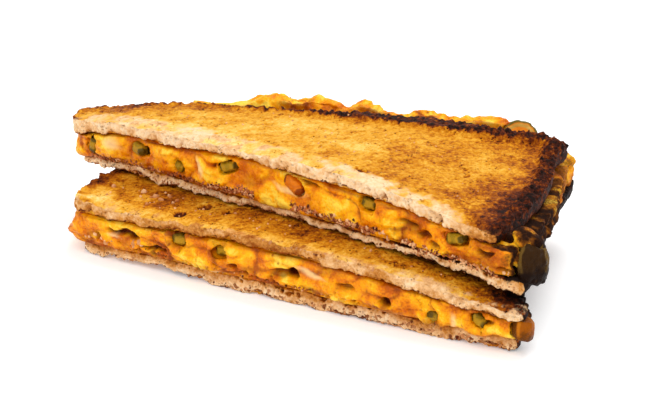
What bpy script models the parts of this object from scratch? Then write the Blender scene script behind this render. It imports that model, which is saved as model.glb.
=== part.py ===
"""A toasted cheese sandwich cut corner to corner, its two halves stacked on each other.

Each half is two thin slices of pressed toast with one layer of melted cheese between
them, and pieces of pepper set in the cheese. X runs along the cut of the lower half, the
cuts face -Y, and the origin is under the middle of the stack.
"""
import math

import bmesh
import bpy
import numpy as np
from mathutils import Matrix, Vector
from mathutils.geometry import delaunay_2d_cdt

CM = 0.01
GAP = 0.04                  # clearance between touching pieces, in centimetres

# Each half has its own frame, in centimetres: x along its cut, y into the half. An
# outline is its corners, counterclockwise from the left end of the cut by the right end
# and the corner of the crust to the back of the blunt tip, and how far each side bows out.
# Layer heights are set at equal steps from the left end of the cut to the right. A lump of
# cheese behind the crust is its place along the cut, spread, reach and rise.
LOWER = {
    "place": (-4.7, -7.45),
    "turn": 0.0,
    "length": 15.5,
    "top slice": ([(-0.1, -0.2), (15.8, -0.3), (9.6, 9.1), (-0.6, 2.8)], [0.2, 0.1, 0.4, 0.1]),
    "filling": ([(0.0, -0.1), (15.6, -0.1), (9.6, 9.1), (-0.4, 2.8)], [0.2, 0.1, 0.4, 0.1]),
    "bottom slice": ([(0.0, 0.0), (15.5, 0.0), (9.6, 9.1), (-0.3, 2.8)], [0.2, 0.1, 0.4, 0.1]),
    "bread": [0.38, 0.46, 0.50, 0.46, 0.44, 0.43],
    "under": [1.42, 1.50, 1.64, 1.58, 1.33, 1.06],
    "top": [1.86, 1.86, 1.96, 1.93, 1.75, 1.33],
    "lumps": [],
    "tip drip": 0.40,
}
UPPER = {
    "place": (-6.8, -4.5),
    "turn": math.radians(-7.6),
    "length": 17.5,
    "top slice": ([(0.1, -0.5), (17.2, -0.65), (14.4, 6.75), (-0.7, 1.05)], [0.0, 0.05, 0.0, 0.1]),
    "filling": ([(0.1, -0.3), (17.4, -0.5), (14.4, 7.4), (-0.4, 1.15)], [0.0, 0.1, 0.55, 0.1]),
    "bottom slice": ([(0.1, -0.2), (17.9, -0.55), (14.4, 7.9), (-0.2, 1.1)], [0.0, -0.2, 0.5, 0.1]),
    "bread": [0.24, 0.33, 0.26, 0.24, 0.25, 0.34],
    "under": [1.06, 1.36, 1.46, 1.60, 1.54, 1.48, 1.27, 1.18],
    "top": [1.62, 1.86, 1.88, 1.96, 1.80, 1.64],
    "lumps": [
        (0.155, 0.014, 0.5, 0.12),
        (0.235, 0.025, 0.5, 0.05),
        (0.280, 0.020, 0.7, 0.22),
        (0.365, 0.035, 0.8, 0.16),
        (0.450, 0.020, 0.6, 0.12),
        (0.560, 0.040, 0.4, 0.06),
        (0.680, 0.050, 0.5, 0.08),
    ],
    "tip drip": 0.0,
}
DROOP_FOLLOWED = 0.45       # how much of the lower half's droop the upper half copies
TIP_SAG = 0.20              # how far the upper half's overhanging tip hangs down
TIP_SAG_LENGTH = 1.6
EDGE_LIFT = 0.18            # how far the lower half's cut edge lifts near its left end
EDGE_LIFT_PLACE = 2.8
EDGE_LIFT_SPREAD = 1.3
EDGE_LIFT_DEPTH = 1.5

# Slices and cheese, in centimetres.
CUT_ROUND = 0.05
CRUST_ROUND = 0.17
CHEESE_WAVE = 0.07
CHEESE_LIP = 0.08
CHEESE_FOOT = 0.05
CHEESE_SHOULDER = 0.12
CREST_ROUND = 0.02
LIP_LEAN = 0.08
LIP_DROP = 0.10
LUMP_FULL_RISE = 0.1        # a lump this high keeps its crest from sinking
SKIRT_REACH = 0.35
SKIRT_SINK = 0.30
SKIRT_START = (0.10, 0.17)  # shares of the cut over which the skirt fades in
SKIRT_END = (0.73, 0.82)    # and out

OUTLINE_POINTS = 84
OUTLINE_SMOOTHING = 0.45    # rounds the corners, in centimetres
SMOOTHING_POINTS = 800
SIDE_STEPS = 60
CORNER_DETAIL = 3.0         # how much closer the points lie at the sharpest corner
CAP_GRID = 1.3
SHARP_ANGLE = math.radians(50)

# Diced pepper in the cut faces: name, half, place along the cut, height, size, turn
# about Z, tilt.
DICE = [
    ("green_pepper_1", UPPER, 1.05, 0.76, (0.34, 0.44, 0.54), 10, 12),
    ("green_pepper_2", UPPER, 3.10, 0.98, (0.56, 0.44, 0.40), -12, 8),
    ("green_pepper_3", UPPER, 4.90, 0.80, (0.50, 0.40, 0.40), -20, 20),
    ("green_pepper_4", UPPER, 6.95, 1.20, (0.66, 0.44, 0.34), 15, -20),
    ("red_pepper", UPPER, 9.55, 1.14, (0.74, 0.50, 0.38), 0, 30),
    ("green_pepper_5", UPPER, 12.35, 1.22, (0.52, 0.40, 0.34), 25, 10),
    ("green_pepper_6", UPPER, 15.45, 0.98, (0.66, 0.44, 0.30), -10, -12),
    ("green_pepper_7", LOWER, 4.20, 1.22, (0.60, 0.44, 0.32), 12, 6),
    ("green_pepper_8", LOWER, 5.80, 1.28, (0.62, 0.44, 0.38), -15, -15),
    ("green_pepper_9", LOWER, 12.80, 0.72, (0.46, 0.42, 0.36), 30, 15),
    ("green_pepper_10", LOWER, 14.20, 0.84, (0.56, 0.42, 0.34), -8, 15),
]
DICE_PROUD = 0.10           # how far a dice's middle stands out of the cut line
DICE_WEAR = 0.28            # share of a dice's least side that its edges lose
DISC_WEAR = 0.3
DISC_SIDES = 18
POCKET_GAP = 1.25 * GAP
# Pepper slices at the crust: name, half, x, y, height, radius, thickness, turn, tilt.
SLICES = [
    ("pepper_slice_side", UPPER, 17.50, 0.10, 0.78, 0.52, 0.70, 0, 2),
    ("pepper_slice_back", UPPER, 12.75, 6.95, 1.40, 0.62, 0.26, -65, 65),
    ("pepper_slice_end", LOWER, 15.45, 0.12, 0.73, 0.40, 0.40, 30, 8),
]

TOAST = (0.62, 0.30, 0.07)
CHEESE = (0.80, 0.30, 0.03)
GREEN = (0.14, 0.15, 0.03)
RED = (0.30, 0.06, 0.02)


def material(name, colour, roughness):
    """A matte or glossy food surface of one colour."""
    finish = bpy.data.materials.new(name)
    finish.use_nodes = True
    shader = finish.node_tree.nodes["Principled BSDF"]
    shader.inputs["Base Color"].default_value = (*colour, 1.0)
    shader.inputs["Roughness"].default_value = roughness
    shader.inputs["Metallic"].default_value = 0.0
    return finish


def along(levels, share):
    """Smooth curve through levels at equal steps of the share, which runs from 0 to 1."""
    place = min(max(share, 0.0), 1.0) * (len(levels) - 1)
    first = min(int(place), len(levels) - 2)
    t = place - first
    start = levels[first]
    end = levels[first + 1]
    start_slope = (end - levels[max(first - 1, 0)]) / 2
    end_slope = (levels[min(first + 2, len(levels) - 1)] - start) / 2
    ease = 3 * t ** 2 - 2 * t ** 3
    bend = start_slope * (t - 2 * t ** 2 + t ** 3) + end_slope * (t ** 3 - t ** 2)
    return start * (1 - ease) + end * ease + bend


def to_stack(half, x, y):
    """A point of a half's own frame in the frame of the stack, in centimetres."""
    turn = half["turn"]
    return (
        half["place"][0] + x * math.cos(turn) - y * math.sin(turn),
        half["place"][1] + x * math.sin(turn) + y * math.cos(turn),
    )


def base_height(half, x, y):
    """Height of a half's underside over a point of its own frame."""
    if half is LOWER:
        return 0.0
    stack_x = to_stack(half, x, y)[0]
    share = (stack_x - LOWER["place"][0]) / LOWER["length"]
    full = max(LOWER["top"])
    surface = along(LOWER["top"], share)
    held = full - DROOP_FOLLOWED * (full - surface)
    sag = TIP_SAG * max(0.0, 1 - max(x, 0.0) / TIP_SAG_LENGTH) ** 2
    return max(surface, held) + GAP - sag


def height(half, layer, x, y):
    """Height of one layer boundary over a point of the half's own frame."""
    base = base_height(half, x, y)
    if layer != "base":
        return base + along(half[layer], x / half["length"])
    if half is UPPER:
        return base
    bell = math.exp(-0.5 * ((x - EDGE_LIFT_PLACE) / EDGE_LIFT_SPREAD) ** 2)
    return EDGE_LIFT * bell * max(0.0, 1 - max(y, 0.0) / EDGE_LIFT_DEPTH) ** 2


def smooth_ring(values, width):
    """Values round a closed ring, blurred over a width counted in values."""
    reach = int(3 * width)
    weights = [math.exp(-0.5 * (k / width) ** 2) for k in range(-reach, reach + 1)]
    total = sum(weights)
    blurred = np.zeros_like(values)
    for k, weight in zip(range(-reach, reach + 1), weights):
        blurred += np.roll(values, k, axis=0) * weight / total
    return blurred


def resample(ring, extra, count):
    """Points at equal steps of distance, closer together where the extra is high."""
    closed = np.vstack([ring, ring[:1]])
    steps = np.linalg.norm(np.diff(closed[:, :2], axis=0), axis=1) * (1 + extra)
    travelled = np.concatenate([[0.0], np.cumsum(steps)])
    wanted = np.linspace(0.0, travelled[-1], count, endpoint=False)
    columns = [np.interp(wanted, travelled, column) for column in closed.T]
    return np.array(columns).T


def outline(corners, bows):
    """Outline points, outward normals, and how much each point belongs to each side."""
    dense = []
    for side, corner in enumerate(corners):
        start = Vector(corner)
        run = Vector(corners[(side + 1) % len(corners)]) - start
        outward = Vector((run.y, -run.x)).normalized()
        member = [float(side == k) for k in range(len(corners))]
        for step in range(SIDE_STEPS):
            t = step / SIDE_STEPS
            spot = start + run * t + outward * bows[side] * 4 * t * (1 - t)
            dense.append([spot.x, spot.y, *member])
    ring = resample(np.array(dense), 0.0, SMOOTHING_POINTS)
    perimeter = np.linalg.norm(np.roll(ring[:, :2], -1, axis=0) - ring[:, :2], axis=1).sum()
    ring = smooth_ring(ring, OUTLINE_SMOOTHING / perimeter * SMOOTHING_POINTS)
    heading = np.roll(ring[:, :2], -1, axis=0) - np.roll(ring[:, :2], 1, axis=0)
    heading /= np.linalg.norm(heading, axis=1)[:, None]
    turning = np.linalg.norm(np.roll(heading, -1, axis=0) - heading, axis=1)
    crowding = CORNER_DETAIL * turning / turning.max()
    normals = np.stack([heading[:, 1], -heading[:, 0]], axis=1)
    rows = resample(np.hstack([ring, normals]), crowding, OUTLINE_POINTS)
    return rows[:, :2], rows[:, 6:8], rows[:, 2:6]


def cap(ring, surface):
    """Triangles that fill a ring, with points on a grid inside it at the surface."""
    spots = [Vector(point[:2]) for point in ring]
    low = ring.min(axis=0)
    high = ring.max(axis=0)
    inner = []
    for i in range(int((high[0] - low[0]) / CAP_GRID) + 1):
        for j in range(int((high[1] - low[1]) / CAP_GRID) + 1):
            spot = Vector((low[0] + (i + 0.5) * CAP_GRID, low[1] + (j + 0.5) * CAP_GRID))
            if min((spot - other).length for other in spots) > 0.55 * CAP_GRID:
                inner.append(spot)
    shape = [list(range(len(spots)))]
    result = delaunay_2d_cdt(spots + inner, [], shape, 1, 1e-6)
    source = [origins[0] for origins in result[3]]
    faces = [[source[corner] for corner in face] for face in result[2]]
    used = sorted({corner for face in faces for corner in face if corner >= len(spots)})
    heights = {corner: surface(*inner[corner - len(spots)]) for corner in used}
    points = {corner: (*inner[corner - len(spots)], heights[corner]) for corner in used}
    return faces, points


def body(name, half, rings, floor, roof, finish):
    """One closed solid from rings stacked bottom to top and capped at both ends."""
    mesh_data = bmesh.new()
    rows = []
    for ring in rings:
        row = []
        for x, y, z in ring:
            stack_x, stack_y = to_stack(half, x, y)
            row.append(mesh_data.verts.new((stack_x * CM, stack_y * CM, z * CM)))
        rows.append(row)
    for lower_row, upper_row in zip(rows, rows[1:]):
        for k in range(len(lower_row)):
            after = (k + 1) % len(lower_row)
            corners = (lower_row[k], lower_row[after], upper_row[after], upper_row[k])
            mesh_data.faces.new(corners)
    for ring, row, surface in ((rings[0], rows[0], floor), (rings[-1], rows[-1], roof)):
        faces, points = cap(ring, surface)
        made = dict(enumerate(row))
        for corner, (x, y, z) in points.items():
            stack_x, stack_y = to_stack(half, x, y)
            made[corner] = mesh_data.verts.new((stack_x * CM, stack_y * CM, z * CM))
        for face in faces:
            mesh_data.faces.new([made[corner] for corner in face])
    bmesh.ops.recalc_face_normals(mesh_data, faces=mesh_data.faces)
    return finished(name, mesh_data, finish)


def finished(name, mesh_data, finish):
    """An object of the mesh, shaded smooth except over its sharp edges."""
    mesh = bpy.data.meshes.new(name)
    mesh_data.to_mesh(mesh)
    mesh_data.free()
    mesh.shade_smooth()
    mesh.set_sharp_from_angle(angle=SHARP_ANGLE)
    mesh.materials.append(finish)
    thing = bpy.data.objects.new(name, mesh)
    bpy.context.collection.objects.link(thing)
    thing.parent = STACK
    return thing


def toast(name, half, slice_name, floor_layer, roof_layer, finish):
    """A slice between two layer boundaries, rounder at its crust than at its cut."""
    points, normals, sides = outline(*half[slice_name])

    def floor(x, y):
        return height(half, floor_layer, x, y)

    def roof(x, y):
        return height(half, roof_layer, x, y)

    crust = 1 - sides[:, 0]
    low = np.array([floor(x, y) for x, y in points])
    high = np.array([roof(x, y) for x, y in points])
    rounding = CUT_ROUND + (CRUST_ROUND - CUT_ROUND) * crust
    rounding = np.minimum(rounding, 0.42 * (high - low))
    rings = []
    for angle in (0, 45, 90):
        inset = rounding * (1 - math.sin(math.radians(angle)))
        rise = rounding * (1 - math.cos(math.radians(angle)))
        rings.append(np.column_stack([points - normals * inset[:, None], low + rise]))
    for angle in (90, 45, 0):
        inset = rounding * (1 - math.sin(math.radians(angle)))
        drop = rounding * (1 - math.cos(math.radians(angle)))
        rings.append(np.column_stack([points - normals * inset[:, None], high - drop]))
    return body(name, half, rings, floor, roof, finish)


def lump_field(half, x, column):
    """Reach or rise of the cheese lumps behind a place along the cut."""
    share = x / half["length"]
    total = 0.0
    for lump in half["lumps"]:
        total = max(total, lump[column] * math.exp(-0.5 * ((share - lump[0]) / lump[1]) ** 2))
    return total


def cheese(name, half, finish):
    """The filling: wavy at the cut, and pushed out behind the crust in lumps."""
    points, normals, sides = outline(*half["filling"])

    def floor(x, y):
        return height(half, "bread", x, y) + GAP

    def roof(x, y):
        return height(half, "under", x, y) - GAP

    low = np.array([floor(x, y) for x, y in points])
    high = np.array([roof(x, y) for x, y in points])
    surface = np.array([height(half, "top", x, y) for x, y in points])
    reach = np.array([lump_field(half, x, 2) for x, y in points])
    rise = np.array([lump_field(half, x, 3) for x, y in points])
    share = points[:, 0] / half["length"]
    fade_in = np.clip((share - SKIRT_START[0]) / (SKIRT_START[1] - SKIRT_START[0]), 0, 1)
    fade_out = np.clip((SKIRT_END[1] - share) / (SKIRT_END[1] - SKIRT_END[0]), 0, 1)
    skirt = sides[:, 2] * fade_in * fade_out * (1.0 if half["lumps"] else 0.0)
    thick = high - low
    travel = np.arange(len(points)) / len(points) * 2 * math.pi
    wave = CHEESE_WAVE * (1.6 + np.sin(9 * travel) + 0.6 * np.sin(23 * travel + 1.0))
    drip = half["tip drip"] * sides[:, 3]
    proud = wave + skirt * (SKIRT_REACH + reach) + drip
    sink = SKIRT_SINK * (1 - np.minimum(rise / LUMP_FULL_RISE, 1.0))
    crest = high + skirt * (surface - high + rise - sink)
    lip = 2 * GAP * skirt - CHEESE_LIP * (1 - skirt)

    def ring(offset, level):
        return np.column_stack([points + normals * offset[:, None], level])

    rings = [
        # Foot on the bread, then the belly, which a drip pulls outwards and down.
        ring(0.5 * proud - CHEESE_FOOT + 0.2 * drip, low),
        ring(0.9 * proud + 0.1 * drip, low + 0.22 * thick),
        ring(proud - 0.3 * drip, low + 0.55 * thick),
        # Shoulder and crest: where the skirt is, they climb past the top slice's edge.
        ring(0.85 * proud - 0.6 * drip, high - CHEESE_SHOULDER + 0.6 * (crest - high)),
        ring(0.55 * proud, crest - CREST_ROUND * (1 - skirt)),
        # Lip: back down beside the top slice, or straight in under it.
        ring(lip + LIP_LEAN * skirt, crest - LIP_DROP * skirt),
        ring(lip - CHEESE_FOOT * (1 - skirt), high),
    ]
    return body(name, half, rings, floor, roof, finish)


def cut_line(half, x):
    """Place of the cheese's cut line across from a place along the cut."""
    corners, bows = half["filling"]
    start, end = corners[:2]
    share = (x - start[0]) / (end[0] - start[0])
    return start[1] + (end[1] - start[1]) * share - bows[0] * 4 * share * (1 - share)


def set_in(piece, half, x, y, rise, turn, tilt):
    """Put a piece at its place in a half, turned about Z and tilted about its own Y."""
    level = (height(half, "base", x, y) + rise) * CM
    stack_x, stack_y = to_stack(half, x, y)
    turned = Matrix.Rotation(math.radians(turn) + half["turn"], 4, "Z")
    tilted = Matrix.Rotation(math.radians(tilt), 4, "Y")
    piece.matrix_local = Matrix.Translation((stack_x * CM, stack_y * CM, level)) @ turned @ tilted


def dice(name, size, finish):
    """A cut cube of pepper with worn edges."""
    mesh_data = bmesh.new()
    bmesh.ops.create_cube(mesh_data, size=CM)
    bmesh.ops.scale(mesh_data, vec=size, verts=mesh_data.verts)
    width = DICE_WEAR * min(size) * CM
    edges = mesh_data.edges[:]
    bmesh.ops.bevel(mesh_data, geom=edges, offset=width, segments=1, affect="EDGES", profile=0.5)
    return finished(name, mesh_data, finish)


def disc(name, radius, thickness, finish):
    """A round slice of pepper with a soft rim."""
    mesh_data = bmesh.new()
    size = {"radius1": radius * CM, "radius2": radius * CM, "depth": thickness * CM}
    bmesh.ops.create_cone(mesh_data, cap_ends=True, segments=DISC_SIDES, **size)
    rims = [edge for edge in mesh_data.edges if edge.verts[0].co.z * edge.verts[1].co.z > 0]
    width = DISC_WEAR * thickness * CM
    bmesh.ops.bevel(mesh_data, geom=rims, offset=width, segments=2, affect="EDGES", profile=0.5)
    return finished(name, mesh_data, finish)


def pocket(filling, piece):
    """Cut a pocket into the filling, wider than the piece by the gap all round."""
    cutter = piece.copy()
    cutter.data = piece.data.copy()
    cutter.name = "cutter_" + piece.name
    bpy.context.collection.objects.link(cutter)
    mesh_data = bmesh.new()
    mesh_data.from_mesh(cutter.data)
    mesh_data.normal_update()
    for vertex in mesh_data.verts:
        vertex.co += vertex.normal * POCKET_GAP * CM
    mesh_data.to_mesh(cutter.data)
    mesh_data.free()
    cutter.hide_render = True
    cutter.display_type = "WIRE"
    cut = filling.modifiers.new("pocket for " + piece.name, "BOOLEAN")
    cut.operation = "DIFFERENCE"
    cut.solver = "EXACT"
    cut.object = cutter


def stand_on_origin():
    """Move the stack so that the middle of its underside is at the origin."""
    bpy.context.view_layer.update()
    corners = []
    for thing in STACK.children:
        if not thing.hide_render:
            corners += [thing.matrix_world @ vertex.co for vertex in thing.data.vertices]
    low = Vector([min(corner[axis] for corner in corners) for axis in range(3)])
    high = Vector([max(corner[axis] for corner in corners) for axis in range(3)])
    middle = (low + high) / 2
    STACK.location = (-middle.x, -middle.y, -low.z)


for thing in list(bpy.data.objects):
    bpy.data.objects.remove(thing, do_unlink=True)

STACK = bpy.data.objects.new("stack", None)
bpy.context.collection.objects.link(STACK)

toasted = material("toast", TOAST, 0.85)
melted = material("cheese", CHEESE, 0.35)
green_flesh = material("green_pepper", GREEN, 0.35)
red_flesh = material("red_pepper", RED, 0.35)

fillings = {}
for label, half in (("lower", LOWER), ("upper", UPPER)):
    toast(label + "_bottom_toast", half, "bottom slice", "base", "bread", toasted)
    fillings[half["place"]] = cheese(label + "_cheese", half, melted)
    toast(label + "_top_toast", half, "top slice", "under", "top", toasted)

for name, half, x, rise, size, turn, tilt in DICE:
    flesh = red_flesh if name.startswith("red") else green_flesh
    piece = dice(name, size, flesh)
    set_in(piece, half, x, cut_line(half, x) - DICE_PROUD, rise, turn, tilt)
    pocket(fillings[half["place"]], piece)
for name, half, x, y, rise, radius, thickness, turn, tilt in SLICES:
    piece = disc(name, radius, thickness, green_flesh)
    set_in(piece, half, x, y, rise, turn, tilt)
    pocket(fillings[half["place"]], piece)

stand_on_origin()
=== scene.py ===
# %% [markdown]
# # A grilled cheese sandwich
# Two halves of a pressed cheese sandwich lie on each other, cut face to the front. The
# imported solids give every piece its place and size. Here each solid gets the fine surface
# that it has on the real food: open crumb where the knife went through, a grained and
# browned top, a burnt rim, folded and oily cheese, and bits of pepper.
#
# The frame is loaded first, because every later cell measures from it.

# %% Load the frame
import math

import bmesh
import bpy
import numpy as np
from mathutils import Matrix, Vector
from mathutils.bvhtree import BVHTree


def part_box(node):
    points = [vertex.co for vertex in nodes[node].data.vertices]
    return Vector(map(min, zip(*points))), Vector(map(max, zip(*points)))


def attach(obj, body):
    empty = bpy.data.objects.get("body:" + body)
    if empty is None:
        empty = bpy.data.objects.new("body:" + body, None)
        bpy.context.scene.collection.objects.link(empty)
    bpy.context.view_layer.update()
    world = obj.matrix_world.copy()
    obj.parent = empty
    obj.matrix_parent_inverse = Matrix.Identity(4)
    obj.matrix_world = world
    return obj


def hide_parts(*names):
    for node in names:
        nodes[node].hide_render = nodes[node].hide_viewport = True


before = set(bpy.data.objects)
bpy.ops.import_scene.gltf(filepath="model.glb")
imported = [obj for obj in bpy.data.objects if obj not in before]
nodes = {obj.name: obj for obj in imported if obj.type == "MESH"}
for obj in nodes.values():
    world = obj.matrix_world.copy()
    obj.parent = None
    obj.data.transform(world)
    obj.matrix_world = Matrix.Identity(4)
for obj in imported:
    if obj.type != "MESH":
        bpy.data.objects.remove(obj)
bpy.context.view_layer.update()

# %% [markdown]
# ## Working in the sandwich's own directions
# Each half was cut with one straight stroke, so its own directions are along the cut and
# into the food. Patterns such as pores and browning follow those directions, not the
# table's. Millimetres are easier to think in than metres for crumbs, so points are turned
# into millimetres along the cut (s), into the half (d) and up (z).

# %% The two halves and their directions
MM = 0.001
TURNS = {"lower": 0.0, "upper": math.radians(-7.6)}


def points_of(mesh):
    """All vertices of a mesh as rows of x, y, z in metres."""
    flat = np.empty(len(mesh.vertices) * 3, np.float32)
    mesh.vertices.foreach_get("co", flat)
    return flat.reshape(-1, 3).astype(float)


def normals_of(mesh):
    """All vertex normals of a mesh as rows."""
    flat = np.empty(len(mesh.vertices) * 3, np.float32)
    mesh.vertex_normals.foreach_get("vector", flat)
    return flat.reshape(-1, 3).astype(float)


def turned(points, angle):
    """Points or normals turned about Z."""
    cos, sin = math.cos(angle), math.sin(angle)
    x, y = points[:, 0], points[:, 1]
    return np.stack([x * cos - y * sin, x * sin + y * cos, points[:, 2]], axis=1)


TIP_IN = {"lower": (5.4, 4.5), "upper": (5.1, 6.4)}


def corner_of(half):
    """Left end of a half's cut, a little inside the corner of its top slice's box."""
    spots = turned(points_of(nodes[half + "_top_toast"].data), -TURNS[half])
    return np.array([*(spots[:, :2].min(axis=0) + np.array(TIP_IN[half]) * MM), 0.0])


CORNERS = {half: corner_of(half) for half in TURNS}


def to_half(points, half):
    """Metres in the frame to millimetres along the cut, into the half and up."""
    return (turned(points, -TURNS[half]) - CORNERS[half]) / MM


def from_half(places, half):
    """Millimetres in a half's directions back to metres in the frame."""
    return turned(np.asarray(places, float) * MM + CORNERS[half], TURNS[half])


for half in TURNS:
    spots = to_half(points_of(nodes[half + "_cheese"].data), half)
    print(half, "half, s d z in mm:", spots.min(axis=0).round(1), spots.max(axis=0).round(1))

# %% [markdown]
# ## Natural roughness as numbers
# Crumb, crust and cheese are rough at several sizes at once. Two functions give that:
# a smooth noise for waves and grain, and a cell pattern, whose middles are pores or lumps.
# They are computed for all points at once, and the same seed always gives the same food.

# %% Noise and cells
def scramble(ix, iy, iz, seed):
    """A number from 0 to 1 for each whole-number place."""
    mixed = (ix * 73856093) ^ (iy * 19349663) ^ (iz * 83492791) ^ (seed * 62089911)
    mixed = (mixed ^ (mixed >> 13)) * 1274126177 & 0x7FFFFFFF
    mixed = (mixed ^ (mixed >> 15)) * 668265263 & 0x7FFFFFFF
    return ((mixed ^ (mixed >> 11)) & 0xFFFFFF) / 0xFFFFFF


def waves(places, size, seed):
    """Smooth noise from -1 to 1 with waves about as long as the size."""
    grid = places / size
    low = np.floor(grid).astype(np.int64)
    t = grid - low
    t = t * t * t * (t * (t * 6 - 15) + 10)
    total = np.zeros(len(places))
    for corner in range(8):
        step = np.array([corner & 1, corner >> 1 & 1, corner >> 2 & 1])
        weight = np.prod(np.where(step, t, 1 - t), axis=1)
        place = low + step
        total += weight * scramble(place[:, 0], place[:, 1], place[:, 2], seed)
    return total * 2 - 1


def rough(places, size, seed, layers=3):
    """Noise whose waves halve in length and height with each layer."""
    total = np.zeros(len(places))
    for layer in range(layers):
        total += waves(places, size / 2 ** layer, seed + layer * 17) / 2 ** layer
    return total


def cells(places, size, seed):
    """Distance to the nearest of scattered middles, in sizes, and that middle's number."""
    grid = places / size
    low = np.floor(grid).astype(np.int64)
    best = np.full(len(places), 9.0)
    number = np.zeros(len(places))
    for corner in range(27):
        step = np.array([corner % 3 - 1, corner // 3 % 3 - 1, corner // 9 - 1])
        cell = low + step
        middle = np.stack(
            [scramble(cell[:, 0], cell[:, 1], cell[:, 2], seed + k) for k in range(3)], axis=1
        )
        away = np.linalg.norm(cell + middle - grid, axis=1)
        nearer = away < best
        best = np.where(nearer, away, best)
        luck = scramble(cell[:, 0], cell[:, 1], cell[:, 2], seed + 7)
        number = np.where(nearer, luck, number)
    return best, number


def ease(value, start, end):
    """Soft step from 0 at the start to 1 at the end."""
    t = np.clip((value - start) / (end - start), 0, 1)
    return t * t * (3 - 2 * t)


test = np.random.default_rng(1).uniform(0, 40, (2000, 3))
print("waves spread", waves(test, 3.0, 1).std().round(2))
print("cells mean", cells(test, 3.0, 1)[0].mean().round(2))

# %% [markdown]
# ## A dense skin over each solid
# The solids have few faces. To carry pores half a millimetre wide, each gets a new skin of
# small even squares. A voxel remesh does that for any closed shape, and a little smoothing
# takes away the flat facets. Sculpting by hand would do too, but numbers can be repeated.

# %% Dense copies
def dense_copy(name, meshes, voxel, smoothing):
    """One object of small even faces over the joined meshes."""
    joined = bmesh.new()
    for mesh in meshes:
        joined.from_mesh(mesh)
    rough_mesh = bpy.data.meshes.new(name)
    joined.to_mesh(rough_mesh)
    joined.free()
    piece = bpy.data.objects.new(name, rough_mesh)
    bpy.context.scene.collection.objects.link(piece)
    remesh = piece.modifiers.new("skin", "REMESH")
    remesh.mode = "VOXEL"
    remesh.voxel_size = voxel * MM
    smooth = piece.modifiers.new("soften", "SMOOTH")
    smooth.factor = 0.5
    smooth.iterations = smoothing
    apply_modifiers(piece)
    return piece


def apply_modifiers(piece):
    """Replace a piece's mesh by what its modifiers make of it."""
    depsgraph = bpy.context.evaluated_depsgraph_get()
    depsgraph.update()
    fresh = bpy.data.meshes.new_from_object(piece.evaluated_get(depsgraph))
    old = piece.data
    piece.modifiers.clear()
    piece.data = fresh
    bpy.data.meshes.remove(old)
    piece.data.name = piece.name
    piece.data.shade_smooth()


def reshape(piece, points):
    """Give a piece's vertices new places, in metres."""
    piece.data.vertices.foreach_set("co", points.astype(np.float32).ravel())
    piece.data.update()


def paint(piece, name, values):
    """Store one number from 0 to 1 at each vertex for the materials to read."""
    layer = piece.data.attributes.new(name, "FLOAT", "POINT")
    layer.data.foreach_set("value", np.clip(values, 0, 1).astype(np.float32))


def count_faces(piece):
    """Triangles that a piece has once its faces are split into triangles."""
    return sum(len(face.vertices) - 2 for face in piece.data.polygons)


# %% [markdown]
# ## Where the edges of a slice are
# Browning and pores depend on how far a point is from the cut and from the crust. The
# slice's outline is read from its solid: the points of its side wall, in order round the
# middle. Each stretch of it counts as cut or as crust by the way that it faces.

# %% Distances to the cut and to the crust
def outline_of(half, node):
    """Ordered outline points of a slice in the half's millimetres, and which are the cut."""
    mesh = nodes[node].data
    places = to_half(points_of(mesh), half)
    facing = turned(normals_of(mesh), -TURNS[half])
    wall = np.abs(facing[:, 2]) < 0.45
    places, facing = places[wall], facing[wall]
    middle = places[:, :2].mean(axis=0)
    angle = np.arctan2(places[:, 1] - middle[1], places[:, 0] - middle[0])
    order = np.argsort(angle)
    places, facing = places[order, :2], facing[order]
    apart = np.linalg.norm(places - np.roll(places, 1, axis=0), axis=1) > 0.5
    return places[apart], facing[apart, 1] < -0.85


def distance_to(places, ring, keep):
    """Distance in plan from each place to the kept stretches of a ring."""
    best = np.full(len(places), 1e6)
    flat = places[:, :2]
    for k in np.flatnonzero(keep):
        start = ring[k]
        run = ring[(k + 1) % len(ring)] - start
        t = np.clip(((flat - start) @ run) / max(run @ run, 1e-9), 0, 1)
        best = np.minimum(best, np.linalg.norm(flat - start - t[:, None] * run, axis=1))
    return best


outlines = {}
for half in TURNS:
    for layer in ("top", "bottom"):
        ring, cut = outline_of(half, f"{half}_{layer}_toast")
        outlines[half, layer] = (ring, cut)
        print(half, layer, "outline points", len(ring), "of them cut", int(cut.sum()))

# %% [markdown]
# ## What a point of a slice knows
# Every later step asks the same questions of a point: does it face the cut, the top or the
# table, how far is it from the cut and from the crust, and how far along the sandwich is it.
# They are answered once for each slice, before its surface is made rough.

# %% Facts about the points of a slice
def facts_of(piece, half, layer):
    """Places, directions, sides and edge distances of all points of a slice."""
    places = to_half(points_of(piece.data), half)
    facing = turned(normals_of(piece.data), -TURNS[half])
    ring, cut = outlines[half, layer]
    return {
        "places": places,
        "facing": facing,
        "front": ease(-facing[:, 1], 0.35, 0.75),
        "top": ease(facing[:, 2], 0.35, 0.8),
        "under": ease(-facing[:, 2], 0.35, 0.8),
        "cut_far": distance_to(places, ring, cut),
        "crust_far": distance_to(places, ring, ~cut),
        "share": np.clip(places[:, 0] / ring[:, 0].max(), 0, 1),
    }


def pushed(facts, amount):
    """Places moved along their directions by an amount in millimetres."""
    return facts["places"] + facts["facing"] * amount[:, None]


def crumb_relief(places, seed):
    """Depth in millimetres of the pores of cut bread, with grains between them."""
    grain = places * np.array([0.75, 1.0, 1.1])
    big, luck = cells(grain, 1.9, seed)
    small, lift = cells(grain, 0.95, seed + 50)
    deep = ease(big, 0.40, 0.12) * (luck > 0.62) * (0.3 + luck)
    return 0.55 * deep + 0.5 * ease(small, 0.15, 0.75) * lift - 0.12


# %% [markdown]
# ## Toast
# A slice has three finishes. The knife opened the crumb, which is pale and full of pores.
# The pan browned the faces along the grain of the loaf, with pits where the crumb was open.
# The crust is the darkest and stands up as a burnt, lumpy rim. All three are pushed into
# the dense skin, so that they are real relief, and each point keeps how brown it is.

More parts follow.
